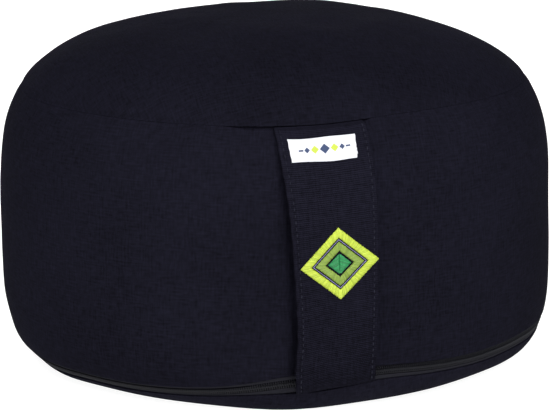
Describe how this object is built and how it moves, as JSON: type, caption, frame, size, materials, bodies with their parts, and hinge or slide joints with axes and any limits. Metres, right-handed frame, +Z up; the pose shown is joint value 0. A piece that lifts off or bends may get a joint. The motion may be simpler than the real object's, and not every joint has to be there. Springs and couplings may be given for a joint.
{
  "type": "zafu meditation cushion",
  "caption": "Round zafu meditation cushion: a filled drum of dark canvas with a carry strap that stands off its side, a zip round its lower edge and a small woven label.",
  "frame": {"origin": "middle of the flat patch under the cushion, at the height of the surface that it rests on", "axes": "+Z up through the crown; -Y towards the carry strap; +X to the right of someone who faces the strap"},
  "size_m": [0.3294, 0.3409, 0.2066],
  "materials": {
    "side_canvas": "plain-woven cotton canvas, near-black navy, matt",
    "top_canvas": "plain-woven cotton canvas, near-black navy, matt",
    "under_canvas": "plain-woven cotton canvas, near-black navy, matt",
    "strap_canvas": "doubled cotton canvas, near-black navy, topstitched along both edges",
    "label_weave": "white woven ribbon",
    "zip_tape": "black woven polyester zip tape",
    "zip_coil": "black nylon coil",
    "zip_metal": "black enamelled zinc",
    "sewing_thread": "polyester sewing thread, near-black navy on the strap and white on the label",
    "embroidery_thread": "satin-stitched embroidery thread in lime, olive, emerald and lilac-grey"
  },
  "bodies": {
    "root": {"filled_side": "side_canvas", "top_panel": "top_canvas", "under_panel": "under_canvas", "carry_strap": "strap_canvas", "label": "label_weave", "zip_tape_upper": "zip_tape", "zip_tape_lower": "zip_tape", "zip_coil": "zip_coil", "zip_slider": "zip_metal", "zip_pull": "zip_metal"}
  },
  "joints": []
}
